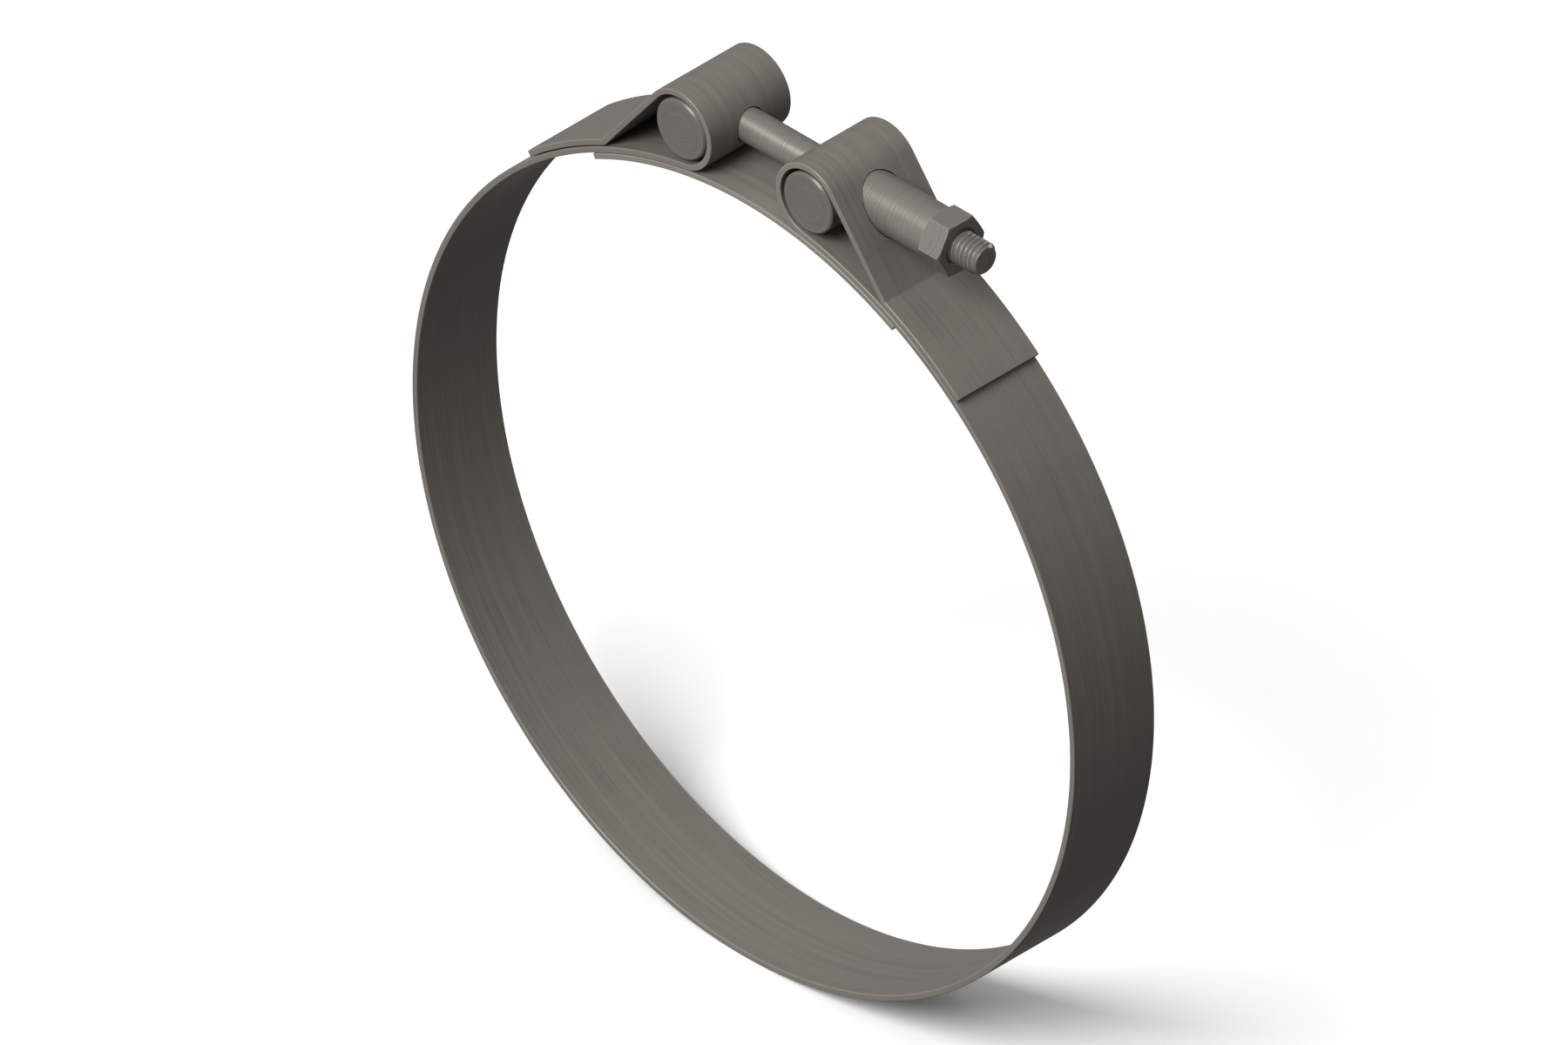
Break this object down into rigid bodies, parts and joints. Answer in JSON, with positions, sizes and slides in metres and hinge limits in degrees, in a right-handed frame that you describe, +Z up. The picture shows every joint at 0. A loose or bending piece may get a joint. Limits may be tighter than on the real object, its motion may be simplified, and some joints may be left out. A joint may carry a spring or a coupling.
{
  "type": "t bolt clamp",
  "caption": "Round hose clamp of folded steel band with looped ends, closed by a T-bolt, barrels, spacer sleeve and hexagon nut over an inner bridge.",
  "frame": {"origin": "on the axis of the band's bore, midway across its width", "axes": "+Y along the bore, +Z up through the T-bolt, +X along the T-bolt towards the nut"},
  "size_m": [0.206, 0.025, 0.2227],
  "materials": {
    "strip_steel": "satin rolled strip",
    "bridge_steel": "satin rolled strip",
    "turned_steel": "fine turned",
    "bolt_steel": "bright drawn",
    "nut_steel": "satin"
  },
  "bodies": {
    "clamp": {"band": "strip_steel", "inner_bridge": "bridge_steel", "anchor_barrel": "turned_steel", "bolt_stud": "bolt_steel", "slide_barrel": "turned_steel"},
    "sleeve": {"spacer_sleeve": "bolt_steel"},
    "nut": {"hex_nut": "nut_steel"}
  },
  "joints": [
    {"name": "sleeve_slide", "type": "slide", "parent": "clamp", "child": "sleeve", "axis": [1, 0, 0], "range_m": [0, 0.0075]},
    {"name": "nut_turn", "type": "hinge", "parent": "sleeve", "child": "nut", "pos_m": [0.052, 0, 0.10969], "axis": [1, 0, 0], "range_deg": [0, 2160]}
  ],
  "couplings": [
    {"joint": "sleeve_slide", "follows": "nut_turn", "m_per_rad": 0.00019894}
  ]
}
